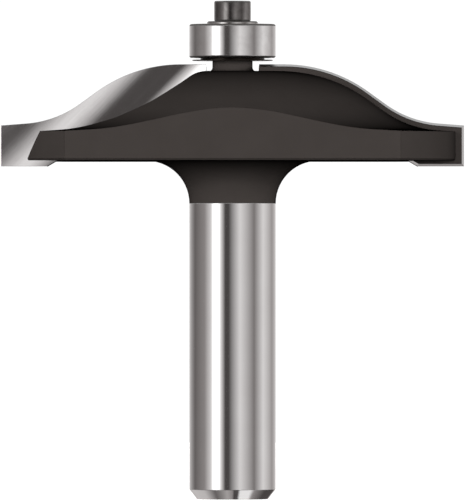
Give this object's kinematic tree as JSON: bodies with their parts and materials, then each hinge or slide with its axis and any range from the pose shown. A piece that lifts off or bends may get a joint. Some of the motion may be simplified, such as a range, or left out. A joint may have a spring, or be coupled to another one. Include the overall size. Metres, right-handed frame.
{
  "type": "router bit",
  "caption": "Two-flute raised-panel router bit with carbide ogee tips, chip-limiting head, round shank and a guide bearing on top.",
  "frame": {"origin": "centre of the flat shank end, on the tool axis", "axes": "+Z along the tool axis from the shank end to the screw head; the two wings lie along X, the left one (-X) with its rake face towards -Y"},
  "size_m": [0.068, 0.044, 0.0731],
  "materials": {
    "coated_steel": "satin dark non-stick coating on the head and neck, ground bright on the shank",
    "tungsten_carbide": "fine ground, glossy",
    "blackened_spring_steel": "blackened, satin",
    "bearing_steel": "polished",
    "bright_sheet_steel": "bright rolled sheet",
    "spring_wire": "drawn wire, satin",
    "bright_washer_steel": "bright turned",
    "black_oxide_screw": "black oxide, slightly oily"
  },
  "bodies": {
    "cutter": {"cutter_body": "coated_steel", "carbide_tip_left": "tungsten_carbide", "carbide_tip_right": "tungsten_carbide", "dust_shield": "blackened_spring_steel", "bearing_inner_ring": "bearing_steel", "clamp_washer": "bright_washer_steel", "cap_screw": "black_oxide_screw"},
    "guide_ring": {"bearing_outer_ring": "bearing_steel", "bearing_shield_upper": "bright_sheet_steel", "bearing_shield_lower": "bright_sheet_steel", "snap_ring_upper": "spring_wire", "snap_ring_lower": "spring_wire"},
    "ball_cage": {"cage_upper": "bright_sheet_steel", "cage_lower": "bright_sheet_steel", "cage_rivets": "bright_sheet_steel"},
    "ball_1": {"bearing_ball_1": "bearing_steel"},
    "ball_2": {"bearing_ball_2": "bearing_steel"},
    "ball_3": {"bearing_ball_3": "bearing_steel"},
    "ball_4": {"bearing_ball_4": "bearing_steel"},
    "ball_5": {"bearing_ball_5": "bearing_steel"},
    "ball_6": {"bearing_ball_6": "bearing_steel"},
    "ball_7": {"bearing_ball_7": "bearing_steel"}
  },
  "joints": [
    {"name": "guide_bearing_spin", "type": "hinge", "parent": "cutter", "child": "guide_ring", "pos_m": [0, 0, 0.06726], "axis": [0, 0, 1], "continuous": true},
    {"name": "ball_cage_spin", "type": "hinge", "parent": "cutter", "child": "ball_cage", "pos_m": [0, 0, 0.06726], "axis": [0, 0, 1], "continuous": true},
    {"name": "ball_1_spin", "type": "hinge", "parent": "ball_cage", "child": "ball_1", "pos_m": [0.00437, 0, 0.06726], "axis": [0, 0, 1], "continuous": true},
    {"name": "ball_2_spin", "type": "hinge", "parent": "ball_cage", "child": "ball_2", "pos_m": [0.00272, 0.00341, 0.06726], "axis": [0, 0, 1], "continuous": true},
    {"name": "ball_3_spin", "type": "hinge", "parent": "ball_cage", "child": "ball_3", "pos_m": [-0.00097, 0.00426, 0.06726], "axis": [0, 0, 1], "continuous": true},
    {"name": "ball_4_spin", "type": "hinge", "parent": "ball_cage", "child": "ball_4", "pos_m": [-0.00393, 0.00189, 0.06726], "axis": [0, 0, 1], "continuous": true},
    {"name": "ball_5_spin", "type": "hinge", "parent": "ball_cage", "child": "ball_5", "pos_m": [-0.00393, -0.00189, 0.06726], "axis": [0, 0, 1], "continuous": true},
    {"name": "ball_6_spin", "type": "hinge", "parent": "ball_cage", "child": "ball_6", "pos_m": [-0.00097, -0.00426, 0.06726], "axis": [0, 0, 1], "continuous": true},
    {"name": "ball_7_spin", "type": "hinge", "parent": "ball_cage", "child": "ball_7", "pos_m": [0.00272, -0.00341, 0.06726], "axis": [0, 0, 1], "continuous": true}
  ],
  "couplings": [
    {"joint": "ball_cage_spin", "follows": "guide_bearing_spin", "ratio": 0.63635},
    {"joint": "ball_1_spin", "follows": "guide_bearing_spin", "ratio": 1.6971},
    {"joint": "ball_2_spin", "follows": "guide_bearing_spin", "ratio": 1.6971},
    {"joint": "ball_3_spin", "follows": "guide_bearing_spin", "ratio": 1.6971},
    {"joint": "ball_4_spin", "follows": "guide_bearing_spin", "ratio": 1.6971},
    {"joint": "ball_5_spin", "follows": "guide_bearing_spin", "ratio": 1.6971},
    {"joint": "ball_6_spin", "follows": "guide_bearing_spin", "ratio": 1.6971},
    {"joint": "ball_7_spin", "follows": "guide_bearing_spin", "ratio": 1.6971}
  ]
}
